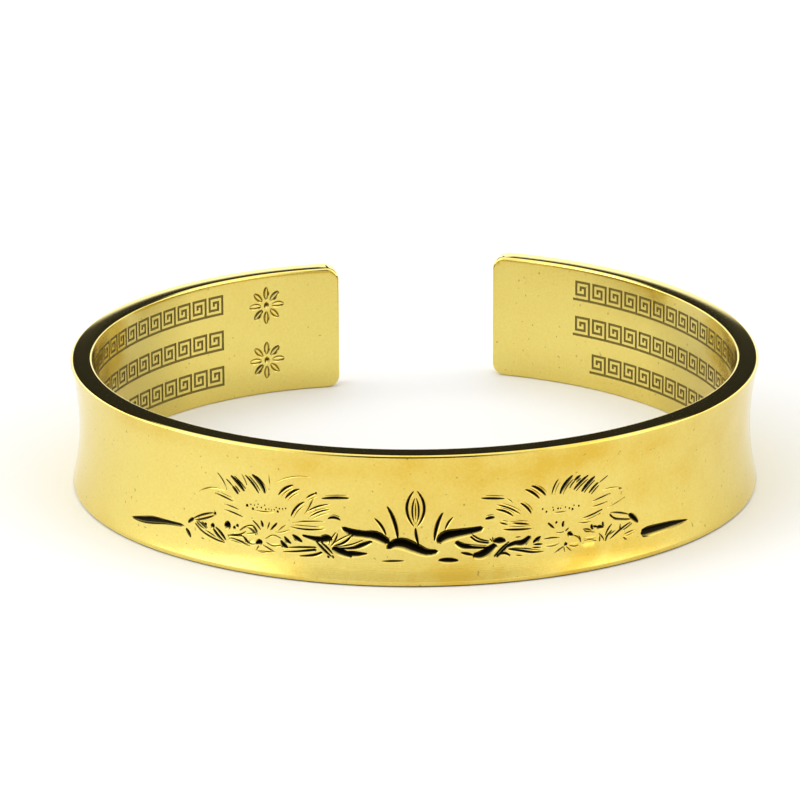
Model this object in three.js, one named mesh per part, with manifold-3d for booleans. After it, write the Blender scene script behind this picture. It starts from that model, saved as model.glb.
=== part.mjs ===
// Open cuff bangle: one solid brass band, engraved in front. Millimetres, +Z up, front towards -Y.
import * as THREE from 'three';
import { mergeVertices } from 'three/addons/utils/BufferGeometryUtils.js';
import Module from 'manifold-3d';

const wasm = await Module();
wasm.setup();

// Band sizes: the rims are the thickest places, the outer face dips in between them
const HEIGHT = 12;
const WALL = 2;
const WAIST_DIP = 0.7;
const INNER_ROUND = 0.25;
const OUTER_ROUND = 0.28;
const END_CORNER = 1.2;

// Plan of the middle of the wall: arcs from the front centre outwards, tangent to each other
const FRONT_RADIUS = 32;
const FRONT_SWEEP = 43;
const SIDE_RADIUS = 26.5;
const SIDE_SWEEP = 47;
const PLAN = {
  right: [
    { radius: FRONT_RADIUS, sweep: FRONT_SWEEP },
    { radius: SIDE_RADIUS, sweep: SIDE_SWEEP },
    { radius: 31.1, sweep: 73.7 },
  ],
  left: [
    { radius: FRONT_RADIUS, sweep: FRONT_SWEEP },
    { radius: SIDE_RADIUS, sweep: SIDE_SWEEP },
    { radius: 26.5, sweep: 82.3 },
  ],
};

// Fineness of the faceted solid
const STATION_STEP = 2;
const FACE_STEPS = 8;
const ROUND_STEPS = 3;
const CUT_STEPS = 5;
const TRIM_CLEAR = 1;

// Graver: half width over depth of its V, how far its widest edges stay above the face, fullness of a cut
const GRAVER_SPREAD = 1.1;
const GRAVER_LIFT = 0.15;
const CUT_TAPER = 0.7;

// Cuts of one half, mirrored to the other: out = distance from the front centre along the band
const BOTH = [
  // Upper petals
  { out: 16.55, up: 8.65, toOut: 15.1, toUp: 7.25, bow: 0.06, width: 0.26 },
  { out: 15.05, up: 8.95, toOut: 13.85, toUp: 7.3, bow: 0.08, width: 0.2 },
  { out: 14.4, up: 9.1, toOut: 13.25, toUp: 7.35, bow: 0.12, width: 0.3 },
  { out: 16.9, up: 8.0, toOut: 15.8, toUp: 6.95, bow: 0.05, width: 0.2 },
  { out: 10.45, up: 8.6, toOut: 12.05, toUp: 7.35, bow: -0.12, width: 0.26 },
  { out: 9.9, up: 8.25, toOut: 11.4, toUp: 7.15, bow: -0.08, width: 0.26 },
  { out: 8.45, up: 8.05, toOut: 9.6, toUp: 7.35, bow: -0.06, width: 0.2 },
  { out: 5.5, up: 7.75, toOut: 8.3, toUp: 7.5, bow: -0.03, width: 0.28 },
  { out: 9.5, up: 7.15, toOut: 10.85, toUp: 5.5, bow: -0.12, width: 0.26 },
  { out: 7.2, up: 7.1, toOut: 9.6, toUp: 6.05, bow: -0.1, width: 0.2 },
  { out: 7.1, up: 6.6, toOut: 9.2, toUp: 5.75, bow: -0.12, width: 0.22 },
  // Side petals
  { out: 20.1, up: 6.3, toOut: 17.0, toUp: 7.0, bow: 0.14, width: 0.18 },
  { out: 18.4, up: 6.7, toOut: 16.0, toUp: 6.15, bow: 0.02, width: 0.18 },
  { out: 17.4, up: 5.35, toOut: 14.9, toUp: 4.8, bow: 0.03, width: 0.2 },
  { out: 7.6, up: 5.4, toOut: 10.9, toUp: 5.0, bow: -0.04, width: 0.2 },
  { out: 7.8, up: 4.85, toOut: 11.2, toUp: 4.7, bow: -0.05, width: 0.24 },
  { out: 6.4, up: 5.75, toOut: 7.8, toUp: 5.7, bow: -0.18, width: 0.3 },
  // Seed head and pistil
  { out: 15.1, up: 6.1, toOut: 13.1, toUp: 5.85, bow: -0.05, width: 0.18 },
  { out: 13.1, up: 6.0, toOut: 11.2, toUp: 6.3, bow: -0.05, width: 0.18 },
  { out: 13.7, up: 4.95, toOut: 13.45, toUp: 4.3, bow: 0, width: 0.2 },
  { out: 12.1, up: 4.95, toOut: 12.8, toUp: 4.2, bow: 0, width: 0.2 },
  // Outer leaves
  { out: 18.0, up: 4.8, toOut: 21.0, toUp: 3.6, bow: -0.1, width: 0.26 },
  { out: 18.4, up: 3.7, toOut: 16.8, toUp: 2.35, bow: 0.06, width: 0.3 },
  { out: 19.9, up: 3.2, toOut: 17.0, toUp: 2.4, bow: -0.06, width: 0.26 },
  { out: 17.15, up: 4.05, toOut: 16.4, toUp: 3.85, bow: 0, width: 0.5 },
  { out: 17.2, up: 3.1, toOut: 14.9, toUp: 3.2, bow: 0.06, width: 0.24 },
  { out: 14.1, up: 2.95, toOut: 13.4, toUp: 2.85, bow: 0, width: 0.36 },
  // Inner leaves
  { out: 11.7, up: 3.75, toOut: 10.6, toUp: 2.95, bow: 0.1, width: 0.4 },
  { out: 10.7, up: 4.05, toOut: 8.6, toUp: 3.7, bow: 0.06, width: 0.4 },
  { out: 9.0, up: 3.9, toOut: 7.2, toUp: 3.75, bow: 0.04, width: 0.6 },
  { out: 11.2, up: 2.75, toOut: 8.3, toUp: 3.0, bow: 0.04, width: 0.26 },
  { out: 8.6, up: 2.9, toOut: 7.0, toUp: 2.35, bow: 0.05, width: 0.34 },
  { out: 7.5, up: 3.2, toOut: 4.2, toUp: 2.8, bow: -0.06, width: 0.5 },
  { out: 7.4, up: 3.35, toOut: 3.6, toUp: 4.0, bow: 0.1, width: 0.3 },
  { out: 7.2, up: 3.55, toOut: 5.2, toUp: 4.6, bow: 0.08, width: 0.3 },
  { out: 7.5, up: 3.3, toOut: 6.8, toUp: 4.65, bow: -0.05, width: 0.2 },
  // Stem and ground
  { out: 6.4, up: 5.05, toOut: 2.0, toUp: 3.95, bow: -0.09, width: 0.62 },
  { out: 28.2, up: 2.15, toOut: 20.9, toUp: 2.75, bow: 0.02, width: 0.46 },
];

// Cuts in the middle: along = place on the band, right of the front centre positive
const MIDDLE = [
  // Ripples under the bud
  { along: -2.6, up: 3.25, toAlong: 0.3, toUp: 3.35, bow: 0.14, width: 0.66 },
  { along: -0.6, up: 3.45, toAlong: 2.2, toUp: 3.1, bow: -0.1, width: 0.6 },
  { along: -3.1, up: 2.25, toAlong: -0.7, toUp: 2.3, bow: 0, width: 0.2 },
  { along: 2.0, up: 2.3, toAlong: 3.8, toUp: 2.25, bow: 0, width: 0.34 },
  // Bud on its stem, with reeds beside it
  { along: 0.3, up: 3.6, toAlong: 0, toUp: 5.3, bow: 0.05, width: 0.3 },
  { along: -0.05, up: 5.2, toAlong: 0, toUp: 8.8, bow: 0.2, width: 0.32 },
  { along: 0.05, up: 5.2, toAlong: 0, toUp: 8.8, bow: -0.2, width: 0.32 },
  { along: -0.1, up: 5.6, toAlong: 0, toUp: 8.1, bow: 0.09, width: 0.22 },
  { along: 0.1, up: 5.6, toAlong: 0, toUp: 8.1, bow: -0.09, width: 0.22 },
  { along: -1.5, up: 4.0, toAlong: -2.5, toUp: 7.3, bow: -0.06, width: 0.38 },
  { along: -2.5, up: 4.4, toAlong: -3.6, toUp: 6.1, bow: -0.08, width: 0.26 },
  { along: 1.6, up: 3.9, toAlong: 2.4, toUp: 6.7, bow: 0.06, width: 0.36 },
];

// Place and outward direction on the plan at a length along the middle of the wall
function planAt(along) {
  const side = along < 0 ? -1 : 1;
  const arcs = along < 0 ? PLAN.left : PLAN.right;
  let rest = Math.abs(along);
  let heading = 0;
  let x = 0;
  let y = 0;
  arcs.forEach(({ radius, sweep }, i) => {
    const full = THREE.MathUtils.degToRad(sweep);
    const turn = i === arcs.length - 1 ? rest / radius : Math.min(rest / radius, full);
    x += radius * (Math.sin(heading + turn) - Math.sin(heading));
    y += radius * (Math.cos(heading) - Math.cos(heading + turn));
    heading += turn;
    rest -= turn * radius;
  });
  return { x: side * x, y, nx: side * Math.sin(heading), ny: -Math.cos(heading) };
}

const armLength = (arcs) =>
  arcs.reduce((sum, { radius, sweep }) => sum + radius * THREE.MathUtils.degToRad(sweep), 0);
const LEFT_END = -armLength(PLAN.left);
const RIGHT_END = armLength(PLAN.right);

// Outer face: an arc that dips between the two rounded edges
const FACE_CHORD = HEIGHT - 2 * OUTER_ROUND;
const FACE_RADIUS = (FACE_CHORD ** 2 / 4 + WAIST_DIP ** 2) / (2 * WAIST_DIP);
const FACE_CENTRE = WALL / 2 - WAIST_DIP + FACE_RADIUS;

function outerFace(up) {
  const side = Math.min(Math.abs(up - HEIGHT / 2), FACE_CHORD / 2);
  return FACE_CENTRE - Math.sqrt(FACE_RADIUS ** 2 - side ** 2);
}

// Flat band to bent band: x runs along the wall, y outwards from its middle, z up
function bend(place) {
  for (let i = 0; i < place.count; i += 1) {
    const { x, y, nx, ny } = planAt(place.getX(i));
    const out = place.getY(i);
    place.setXY(i, x + nx * out, y + ny * out);
  }
}

// The flat axes are left-handed, so the corners of each triangle change order on the way
function bentSolid(geometry) {
  const bare = geometry.clone();
  bare.deleteAttribute('normal');
  bare.deleteAttribute('uv');
  const merged = mergeVertices(bare, 1e-4);
  bend(merged.getAttribute('position'));
  const index = merged.index.array;
  const triangles = [];
  for (let i = 0; i < index.length; i += 3) {
    const [a, b, c] = [index[i], index[i + 1], index[i + 2]];
    if (a !== b && b !== c && c !== a) triangles.push(a, c, b);
  }
  return new wasm.Manifold(new wasm.Mesh({
    numProp: 3,
    vertProperties: new Float32Array(merged.getAttribute('position').array),
    triVerts: new Uint32Array(triangles),
  }));
}

function toGeometry(solid) {
  const mesh = solid.getMesh();
  const geometry = new THREE.BufferGeometry();
  geometry.setAttribute('position', new THREE.BufferAttribute(new Float32Array(mesh.vertProperties), 3));
  geometry.setIndex(new THREE.BufferAttribute(new Uint32Array(mesh.triVerts), 1));
  return geometry;
}

// Section of the band, drawn with y outwards and z up
function bandSection() {
  const inner = -WALL / 2;
  const outer = WALL / 2;
  const round = (out, up, radius, from) =>
    new THREE.EllipseCurve(out, up, radius, radius, from, from + Math.PI / 2).getPoints(ROUND_STEPS);
  const face = [];
  for (let i = 1; i < FACE_STEPS; i += 1) {
    const up = OUTER_ROUND + (FACE_CHORD * i) / FACE_STEPS;
    face.push(new THREE.Vector2(outerFace(up), up));
  }
  return new THREE.Shape([
    ...round(inner + INNER_ROUND, INNER_ROUND, INNER_ROUND, Math.PI),
    ...round(outer - OUTER_ROUND, OUTER_ROUND, OUTER_ROUND, 1.5 * Math.PI),
    ...face,
    ...round(outer - OUTER_ROUND, HEIGHT - OUTER_ROUND, OUTER_ROUND, 0),
    ...round(inner + INNER_ROUND, HEIGHT - INNER_ROUND, INNER_ROUND, 0.5 * Math.PI),
  ]);
}

function band() {
  const length = RIGHT_END - LEFT_END;
  const bar = new THREE.ExtrudeGeometry(bandSection(), {
    depth: length,
    steps: Math.round(length / STATION_STEP),
    bevelEnabled: false,
  });
  // Drawn as x = outwards, y = up, z = along; turned to x = along, y = outwards, z = up
  const turn = new THREE.Matrix4().set(0, 0, 1, LEFT_END, 1, 0, 0, 0, 0, 1, 0, 0, 0, 0, 0, 1);
  return bentSolid(bar.applyMatrix4(turn));
}

// What is cut away around a rounded corner: a quarter round on the near side, open on the far sides
function cornerTrim(radius, length) {
  const arc = new THREE.EllipseCurve(-radius, radius, radius, radius, -Math.PI / 2, 0).getPoints(2 * ROUND_STEPS);
  const shape = new THREE.Shape([
    ...arc,
    new THREE.Vector2(TRIM_CLEAR, radius),
    new THREE.Vector2(TRIM_CLEAR, -TRIM_CLEAR),
    new THREE.Vector2(-radius, -TRIM_CLEAR),
  ]);
  return new THREE.ExtrudeGeometry(shape, { depth: length, steps: 1, bevelEnabled: false });
}

// The ends: round corners seen from outside, and a round inner edge
function endTrims(end) {
  const side = Math.sign(end);
  const through = 3 * WALL;
  const trims = [];
  for (const top of [false, true]) {
    const flip = side * (top ? -1 : 1);
    const basis = new THREE.Matrix4().makeBasis(
      new THREE.Vector3(side, 0, 0),
      new THREE.Vector3(0, 0, top ? -1 : 1),
      new THREE.Vector3(0, -flip, 0),
    );
    basis.setPosition(end, (flip * through) / 2, top ? HEIGHT : 0);
    trims.push(bentSolid(cornerTrim(END_CORNER, through).applyMatrix4(basis)));
  }
  const tall = HEIGHT + 2 * TRIM_CLEAR;
  const basis = new THREE.Matrix4().makeBasis(
    new THREE.Vector3(side, 0, 0),
    new THREE.Vector3(0, 1, 0),
    new THREE.Vector3(0, 0, side),
  );
  basis.setPosition(end, -WALL / 2, side > 0 ? -TRIM_CLEAR : HEIGHT + TRIM_CLEAR);
  trims.push(bentSolid(cornerTrim(INNER_ROUND, tall).applyMatrix4(basis)));
  return trims;
}

// One graver cut: a four-sided spindle that lies on the outer face, one edge into the metal
function graverCut({ along, up, toAlong, toUp, bow, width }) {
  const run = new THREE.Vector2(toAlong - along, toUp - up);
  const length = run.length();
  const profile = [];
  for (let i = 0; i <= CUT_STEPS; i += 1) {
    const t = i / CUT_STEPS;
    const reach = width / 2 + GRAVER_LIFT * GRAVER_SPREAD;
    profile.push(new THREE.Vector2(reach * Math.sin(Math.PI * t) ** CUT_TAPER, t * length));
  }
  const spindle = new THREE.LatheGeometry(profile, 4);
  const ahead = run.clone().divideScalar(length);
  const place = spindle.getAttribute('position');
  for (let i = 0; i < place.count; i += 1) {
    const forward = place.getY(i);
    const t = forward / length;
    const across = place.getX(i) + bow * length * 4 * t * (1 - t);
    const depth = place.getZ(i) / GRAVER_SPREAD;
    const z = up + ahead.y * forward + ahead.x * across;
    place.setXYZ(i, along + ahead.x * forward - ahead.y * across, outerFace(z) + GRAVER_LIFT + depth, z);
  }
  return bentSolid(spindle);
}

const mirrored = ({ out, up, toOut, toUp, bow, width }) => [
  { along: out, up, toAlong: toOut, toUp, bow, width },
  { along: -out, up, toAlong: -toOut, toUp, bow: -bow, width },
];

let cuff = band();
for (const trim of [...endTrims(LEFT_END), ...endTrims(RIGHT_END)]) cuff = cuff.subtract(trim);
for (const cut of [...BOTH.flatMap(mirrored), ...MIDDLE]) cuff = cuff.subtract(graverCut(cut));

// Origin: bottom centre of the bounding box
const cuffGeometry = toGeometry(cuff);
cuffGeometry.computeBoundingBox();
const middle = cuffGeometry.boundingBox.getCenter(new THREE.Vector3());
cuffGeometry.translate(-middle.x, -middle.y, -cuffGeometry.boundingBox.min.z);

const brass = new THREE.MeshStandardMaterial({ name: 'brass', color: 0xd9b45a, metalness: 1, roughness: 0.25 });
const cuffBand = new THREE.Mesh(cuffGeometry, brass);
cuffBand.name = 'cuff_band';

const group = new THREE.Group();
group.name = 'cuff_bangle';
group.add(cuffBand);

export default group;
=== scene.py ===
"""Open brass cuff bangle with engraved lotus blossoms, on a pale studio floor."""

import math
from collections import namedtuple

import bmesh
import bpy
import numpy as np
from bpy.props import FloatProperty, FloatVectorProperty, IntProperty, PointerProperty
from mathutils import Matrix, Vector


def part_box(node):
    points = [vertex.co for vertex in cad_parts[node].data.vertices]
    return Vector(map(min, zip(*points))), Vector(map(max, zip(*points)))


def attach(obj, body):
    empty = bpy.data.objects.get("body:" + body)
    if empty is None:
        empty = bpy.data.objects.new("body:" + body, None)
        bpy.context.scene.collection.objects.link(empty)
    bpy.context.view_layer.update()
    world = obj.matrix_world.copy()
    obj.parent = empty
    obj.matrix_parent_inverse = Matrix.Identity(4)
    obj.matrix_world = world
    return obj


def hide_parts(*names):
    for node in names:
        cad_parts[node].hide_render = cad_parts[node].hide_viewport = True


bl_info = {
    "name": "Engraved Cuff Bangle",
    "version": (1, 0, 0),
    "blender": (4, 5, 0),
    "location": "View3D > Sidebar > Cuff",
    "description": "Shapes, engraves and bends a brass cuff, and lights it on a studio floor",
    "category": "Object",
}

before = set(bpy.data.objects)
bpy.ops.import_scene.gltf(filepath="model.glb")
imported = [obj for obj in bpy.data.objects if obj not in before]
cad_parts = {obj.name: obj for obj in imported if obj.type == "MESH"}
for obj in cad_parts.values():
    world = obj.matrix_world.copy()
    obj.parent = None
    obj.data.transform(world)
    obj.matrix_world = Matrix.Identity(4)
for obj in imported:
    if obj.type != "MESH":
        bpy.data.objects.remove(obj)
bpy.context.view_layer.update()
BAND_NODE = "cuff_band"
BAND_LOW, BAND_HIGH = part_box(BAND_NODE)

# The band is made flat on a bench in millimetres: x along it, y inwards, z up. It is bent afterwards.
MM = 0.001
BAR_NAME = "cuff"

# Cuts read along = millimetres along the band, right of the front centre positive, and up = height.
# bow = sag over length, to the left of the way from start to end
Cut = namedtuple("Cut", "along up to_along to_up bow width")
Sweep = namedtuple("Sweep", "points")
Dot = namedtuple("Dot", "along up size")
Pad = namedtuple("Pad", "along up length height")

LEFT_PETALS = (
    Cut(-16.55, 8.7, -15.12, 7.25, 0.05, 0.28),
    Cut(-17.0, 8.25, -16.3, 7.6, 0.04, 0.1),
    Cut(-16.4, 7.7, -15.78, 6.95, 0.03, 0.22),
    Cut(-15.12, 9.02, -13.75, 7.3, 0.05, 0.18),
    Cut(-14.46, 9.15, -13.2, 7.35, 0.12, 0.34),
    Cut(-15.45, 9.1, -14.85, 7.9, 0.02, 0.1),
    Cut(-17.9, 8.75, -16.9, 7.1, 0.08, 0.09),
    Cut(-10.45, 8.62, -12.02, 7.38, -0.1, 0.26),
    Cut(-9.92, 8.3, -11.4, 7.15, -0.09, 0.26),
    Cut(-8.45, 8.06, -9.5, 7.42, -0.05, 0.18),
    Cut(-8.2, 7.56, -5.5, 7.78, 0.02, 0.27),
    Cut(-8.75, 7.75, -9.7, 5.9, 0.04, 0.11),
    Cut(-8.95, 7.45, -9.35, 6.5, 0.05, 0.1),
    Cut(-9.5, 7.18, -10.9, 5.55, -0.1, 0.24),
    Cut(-7.25, 7.12, -9.5, 6.15, -0.07, 0.16),
    Cut(-7.25, 6.62, -9.2, 5.72, -0.08, 0.17),
    Cut(-7.6, 5.72, -6.4, 5.66, 0.17, 0.28),
    Cut(-10.9, 5.02, -7.65, 5.48, 0.03, 0.12),
    Cut(-10.2, 5.25, -8.9, 5.42, 0.02, 0.08),
    Cut(-11.1, 4.72, -7.6, 4.85, -0.05, 0.16),
    Cut(-10.9, 4.74, -8.0, 4.86, 0.04, 0.1),
    Cut(-12.05, 4.15, -11.25, 4.85, 0.04, 0.1),
    Cut(-12.4, 4.05, -10.9, 4.5, -0.1, 0.1),
    Cut(-20.05, 6.35, -17.0, 7.02, 0.13, 0.1),
    Cut(-18.3, 6.68, -16.15, 6.14, 0.02, 0.16),
    Cut(-17.3, 5.82, -15.6, 5.47, 0.03, 0.13),
    Cut(-17.35, 5.32, -15.15, 4.85, 0.03, 0.15),
    Cut(-14.5, 4.85, -13.6, 4.0, 0.05, 0.11),
    Cut(-12.25, 8.55, -8.75, 9.5, 0.1, 0.09),
    Cut(-12.75, 9.4, -12.7, 8.2, -0.03, 0.09),
    Dot(-8.55, 8.03, 0.22),
)

LEFT_SEEDS = (
    Cut(-14.4, 5.76, -12.3, 5.84, -0.03, 0.11),
    Cut(-13.66, 4.95, -13.42, 4.32, 0, 0.22),
    Cut(-12.8, 4.95, -13.05, 4.2, 0, 0.13),
    Cut(-12.08, 4.95, -12.76, 4.15, 0, 0.21),
    Cut(-14.55, 4.4, -13.95, 3.5, 0.12, 0.13),
    Cut(-14.95, 4.1, -14.05, 3.6, 0.12, 0.11),
    Dot(-14.96, 6.06, 0.28),
    Dot(-14.4, 5.84, 0.24),
    Dot(-12.06, 5.92, 0.22),
    Dot(-14.6, 6.22, 0.15),
    Dot(-14.25, 6.2, 0.14),
    Dot(-14.0, 6.05, 0.14),
    Dot(-13.9, 6.34, 0.13),
    Dot(-13.6, 6.08, 0.16),
    Dot(-13.27, 6.34, 0.14),
    Dot(-13.18, 5.98, 0.17),
    Dot(-12.88, 6.04, 0.14),
    Dot(-12.65, 5.98, 0.13),
    Dot(-12.38, 6.05, 0.14),
    Dot(-12.2, 6.28, 0.14),
    Dot(-11.9, 6.2, 0.16),
    Dot(-11.6, 6.22, 0.15),
    Dot(-11.32, 6.3, 0.15),
)

LEFT_OUTER_LEAVES = (
    Cut(-20.7, 3.75, -18.15, 4.85, 0.05, 0.17),
    Cut(-20.5, 3.7, -18.1, 4.68, -0.03, 0.17),
    Cut(-21.1, 3.35, -20.4, 3.9, 0.05, 0.32),
    Cut(-20.2, 3.8, -18.95, 3.12, 0.06, 0.15),
    Cut(-20.2, 3.75, -19.1, 3.1, -0.06, 0.13),
    Cut(-19.65, 3.8, -18.9, 3.25, 0.05, 0.13),
    Cut(-18.5, 3.6, -17.0, 2.35, -0.05, 0.2),
    Cut(-18.2, 3.62, -16.92, 2.5, 0.06, 0.2),
    Sweep(((-20.4, 3.6, 0.08), (-19.4, 2.88, 0.16), (-18.1, 2.48, 0.17), (-16.95, 2.33, 0.12))),
    Cut(-19.3, 3.1, -17.9, 2.6, 0.03, 0.13),
    Cut(-19.5, 2.36, -19.2, 2.22, 0, 0.1),
    Cut(-17.0, 3.08, -14.95, 3.8, -0.1, 0.16),
    Cut(-17.0, 2.98, -15.05, 3.2, 0.03, 0.13),
    Cut(-16.95, 2.92, -14.55, 2.35, 0.05, 0.14),
    Cut(-16.9, 2.65, -15.2, 2.45, 0.05, 0.1),
    Cut(-15.15, 4.1, -14.0, 3.45, 0.12, 0.12),
    Cut(-15.1, 3.25, -14.6, 2.62, -0.12, 0.16),
    Cut(-14.1, 2.78, -13.4, 2.95, 0.1, 0.5),
    Cut(-13.5, 2.8, -12.1, 2.2, 0, 0.13),
    Cut(-13.7, 2.75, -14.05, 2.15, 0, 0.11),
    Cut(-14.0, 2.15, -12.9, 2.12, -0.03, 0.1),
    Cut(-21.3, 2.85, -20.62, 2.08, 0.06, 0.25),
    Dot(-18.2, 4.76, 0.32),
    Dot(-19.15, 3.6, 0.3),
    Dot(-18.4, 3.62, 0.45),
    Dot(-16.88, 3.95, 0.7),
    Dot(-16.2, 3.85, 0.3),
    Dot(-15.9, 4.07, 0.3),
    Sweep(((-15.8, 3.6, 0.1), (-15.07, 4.15, 0.13), (-14.35, 4.28, 0.13), (-13.9, 3.73, 0.1))),
    Sweep(((-16.97, 2.95, 0.1), (-16.16, 3.23, 0.13), (-15.26, 3.18, 0.14), (-14.89, 2.66, 0.1))),
    Sweep(((-16.9, 2.8, 0.08), (-15.62, 2.78, 0.12), (-14.44, 2.39, 0.08))),
    Sweep(((-15.0, 3.48, 0.08), (-14.45, 3.62, 0.11), (-13.9, 3.7, 0.08))),
    Sweep(((-14.94, 2.99, 0.08), (-14.53, 2.68, 0.12), (-14.04, 2.73, 0.1))),
    Sweep(((-13.27, 3.29, 0.08), (-12.46, 3.74, 0.11), (-11.64, 3.5, 0.08))),
    Sweep(((-13.18, 3.05, 0.08), (-12.46, 2.8, 0.12), (-11.64, 2.95, 0.1))),
    Cut(-14.08, 2.21, -12.09, 2.32, -0.03, 0.12),
    Pad(-14.44, 3.04, 1.0, 0.62),
    Pad(-12.44, 3.14, 1.45, 0.72),
    Pad(-15.75, 3.5, 1.3, 0.5),
)

LEFT_INNER_LEAVES = (
    Cut(-11.75, 3.45, -11.0, 2.82, -0.18, 0.42),
    Cut(-11.45, 3.82, -10.75, 3.2, -0.12, 0.32),
    Cut(-10.75, 4.05, -9.75, 3.45, -0.05, 0.4),
    Sweep(((-9.95, 4.08, 0.15), (-9.1, 3.9, 0.36), (-8.2, 3.8, 0.55), (-7.15, 3.95, 0.4))),
    Cut(-8.35, 3.75, -7.1, 3.95, 0.05, 0.75),
    Sweep(((-11.25, 2.8, 0.08), (-10.0, 2.97, 0.18), (-8.4, 3.1, 0.18))),
    Sweep(((-11.65, 2.38, 0.08), (-10.1, 2.6, 0.18), (-8.4, 2.92, 0.28))),
    Sweep(((-10.15, 2.18, 0.08), (-8.75, 2.4, 0.25), (-7.95, 2.75, 0.2))),
    Cut(-8.75, 3.85, -7.05, 2.3, -0.03, 0.24),
    Cut(-8.4, 3.8, -7.0, 2.55, 0.03, 0.2),
    Cut(-7.55, 2.5, -7.4, 2.25, 0, 0.2),
    Cut(-7.15, 2.55, -7.0, 2.25, 0, 0.18),
    Sweep(((-7.2, 3.2, 0.35), (-6.3, 2.85, 0.66), (-5.35, 2.5, 0.25))),
    Sweep(((-6.2, 2.85, 0.3), (-5.2, 2.75, 0.5), (-4.0, 2.85, 0.1))),
    Cut(-7.5, 3.3, -6.75, 4.65, 0.07, 0.16),
    Cut(-7.35, 3.25, -6.7, 4.6, -0.09, 0.18),
    Cut(-7.2, 3.4, -5.4, 4.5, 0.06, 0.14),
    Cut(-7.1, 3.35, -5.4, 4.5, -0.12, 0.26),
    Sweep(((-7.1, 3.25, 0.1), (-5.6, 3.55, 0.14), (-4.4, 4.05, 0.1))),
    Sweep(((-7.1, 3.15, 0.1), (-5.5, 3.25, 0.25), (-4.6, 3.55, 0.45), (-3.6, 4.0, 0.2))),
)

RIGHT_PETALS = (
    Cut(5.65, 7.76, 7.98, 7.54, 0, 0.22),
    Cut(7.95, 7.55, 8.6, 7.05, 0.1, 0.09),
    Cut(7.05, 7.06, 9.4, 5.88, 0.06, 0.17),
    Cut(7.0, 6.6, 8.72, 5.78, 0.09, 0.22),
    Cut(6.15, 5.8, 7.05, 5.92, 0, 0.3),
    Cut(9.22, 7.02, 10.32, 5.85, 0.08, 0.24),
    Cut(9.6, 8.25, 11.05, 7.15, 0.07, 0.28),
    Cut(10.15, 8.53, 11.62, 7.36, 0.08, 0.3),
    Cut(12.78, 8.95, 12.13, 7.35, -0.07, 0.16),
    Cut(14.12, 9.06, 12.85, 7.3, -0.08, 0.3),
    Cut(14.78, 8.88, 14.15, 8.42, -0.03, 0.22),
    Cut(14.3, 8.5, 13.75, 7.75, -0.06, 0.11),
    Cut(15.62, 8.8, 14.1, 7.5, -0.05, 0.22),
    Cut(16.28, 8.58, 14.88, 7.18, -0.05, 0.28),
    Cut(16.65, 7.95, 15.6, 6.95, -0.04, 0.17),
    Cut(17.55, 8.4, 16.6, 7.8, 0, 0.08),
    Cut(17.95, 6.63, 15.9, 6.15, 0, 0.14),
    Cut(16.9, 7.0, 19.1, 6.85, 0.08, 0.1),
    Cut(18.65, 6.93, 19.1, 6.8, 0, 0.14),
    Cut(17.65, 5.92, 15.85, 5.67, 0.02, 0.12),
    Cut(17.15, 5.36, 14.95, 4.8, 0.04, 0.16),
    Cut(19.5, 6.02, 17.4, 5.28, 0.03, 0.09),
    Cut(15.95, 4.4, 14.55, 4.48, 0.05, 0.11),
    Cut(7.4, 5.37, 8.2, 5.12, 0, 0.16),
    Cut(8.5, 5.24, 10.15, 4.95, 0, 0.2),
    Cut(8.1, 5.36, 10.0, 5.2, 0.03, 0.08),
    Cut(7.6, 4.74, 10.45, 4.55, -0.02, 0.2),
)

RIGHT_SEEDS = (
    Cut(12.2, 5.79, 13.6, 5.72, -0.04, 0.11),
    Cut(11.75, 4.92, 12.4, 4.28, 0, 0.22),
    Cut(13.27, 4.9, 13.15, 4.3, 0, 0.24),
    Cut(12.5, 4.0, 13.3, 3.95, -0.18, 0.1),
    Cut(13.75, 4.2, 13.3, 3.85, 0, 0.1),
    Dot(12.57, 4.8, 0.24),
    Dot(11.3, 6.2, 0.18),
    Dot(11.65, 5.9, 0.2),
    Dot(12.25, 6.22, 0.14),
    Dot(12.3, 5.98, 0.15),
    Dot(12.73, 6.06, 0.18),
    Dot(12.97, 6.04, 0.14),
    Dot(13.44, 6.08, 0.15),
    Dot(13.8, 5.93, 0.18),
    Dot(14.1, 5.79, 0.22),
    Dot(14.25, 6.12, 0.15),
    Dot(14.7, 6.0, 0.18),
)

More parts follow.
